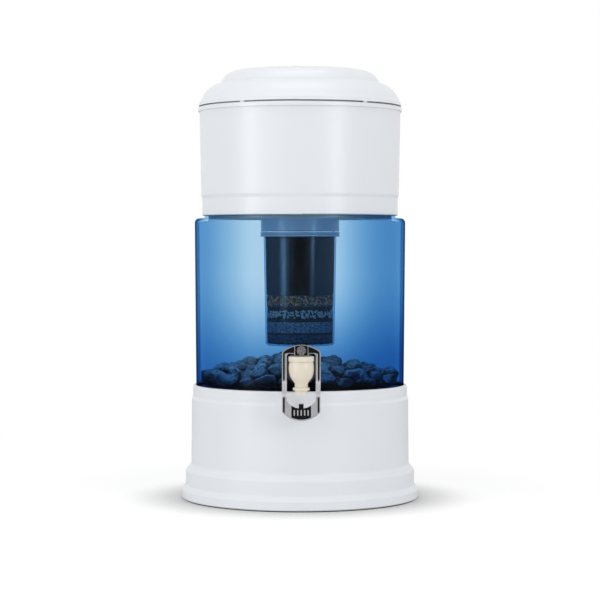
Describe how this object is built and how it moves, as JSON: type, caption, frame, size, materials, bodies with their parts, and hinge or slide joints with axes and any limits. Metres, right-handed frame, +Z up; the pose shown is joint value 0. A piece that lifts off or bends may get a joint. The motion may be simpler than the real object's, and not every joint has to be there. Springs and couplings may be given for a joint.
{
  "type": "gravity water filter",
  "caption": "Round gravity water filter: white upper tank with lid and dome filter, hanging cartridge, clear blue lower tank with stones, push tap and a stepped stand.",
  "frame": {"origin": "middle of the stand's underside, on the surface it stands on, below the tanks' common axis", "axes": "+Z up along the tanks' axis, -Y towards the front with the tap, +X to the right seen from the front"},
  "size_m": [0.2912, 0.3314, 0.5261],
  "materials": {
    "white_plastic": "satin moulded white",
    "blue_tank": "clear blue, polished",
    "clear_plastic": "clear, faint blue, polished",
    "cream_plastic": "cream, satin",
    "chrome_trim": "bright chrome plating",
    "black_insert": "gloss black",
    "black_rubber": "matt",
    "white_silicone": "matt",
    "stone": "dark blue-grey, rough",
    "carbon": "black granular carbon",
    "granules": "brown mineral granules",
    "ceramic_balls": "small pale balls",
    "sand": "fine blue-grey sand",
    "zeolite": "dark fine granules",
    "felt": "dark filter felt",
    "white_ceramic": "unglazed, porous",
    "steel": "spring and pin steel"
  },
  "bodies": {
    "stand": {"base_shell": "white_plastic", "base_foot_ring": "black_rubber"},
    "lower_tank": {"lower_tank_shell": "blue_tank", "mineral_stones": "stone", "tap_body": "cream_plastic", "tap_nozzle": "cream_plastic", "tap_bonnet": "cream_plastic", "tap_outer_washer": "black_rubber", "tap_inner_washer": "white_silicone", "tap_nut": "cream_plastic", "tap_spring": "steel"},
    "tap_valve": {"tap_stem": "cream_plastic", "tap_valve_plug": "white_silicone", "tap_pivot_pin": "steel"},
    "tap_lever": {"tap_lever_frame": "chrome_trim", "tap_lever_inlays": "black_insert", "tap_pad_inlay": "black_insert", "tap_pad_ribs": "chrome_trim", "tap_lever_disc": "chrome_trim"},
    "upper_tank": {"upper_tank_shell": "white_plastic", "cartridge_gasket": "white_silicone", "cartridge_head": "clear_plastic", "cartridge_ring": "clear_plastic", "cartridge_jar": "clear_plastic", "cartridge_top_screen": "felt", "carbon_bed": "carbon", "mineral_granules": "granules", "ceramic_ball_bed": "ceramic_balls", "silica_sand": "sand", "zeolite_layer": "zeolite", "cartridge_separators": "felt", "cartridge_bottom_screen": "felt"},
    "dome_filter": {"dome_base": "white_plastic", "ceramic_dome": "white_ceramic", "dome_washer": "white_silicone"},
    "lid": {"lid_shell": "white_plastic"}
  },
  "joints": [
    {"name": "lower_tank_lift", "type": "slide", "parent": "stand", "child": "lower_tank", "axis": [0, 0, 1], "range_m": [0, 0.06]},
    {"name": "upper_tank_lift", "type": "slide", "parent": "lower_tank", "child": "upper_tank", "axis": [0, 0, 1], "range_m": [0, 0.18]},
    {"name": "lid_lift", "type": "slide", "parent": "upper_tank", "child": "lid", "axis": [0, 0, 1], "range_m": [0, 0.08]},
    {"name": "dome_lift", "type": "slide", "parent": "upper_tank", "child": "dome_filter", "axis": [0, 0, 1], "range_m": [0, 0.06]},
    {"name": "tap_valve_slide", "type": "slide", "parent": "lower_tank", "child": "tap_valve", "axis": [0, 0, 1], "range_m": [0, 0.0016], "stiffness_N_per_m": 300, "springref_m": -0.001, "deforming": ["tap_spring"]},
    {"name": "tap_lever_push", "type": "hinge", "parent": "tap_valve", "child": "tap_lever", "pos_m": [0, -0.171, 0.19], "axis": [1, 0, 0], "range_deg": [0, 12], "stiffness_Nm_per_rad": 0.2, "springref_deg": -2.86}
  ],
  "couplings": [
    {"joint": "tap_valve_slide", "follows": "tap_lever_push", "m_per_rad": 0.0075}
  ]
}
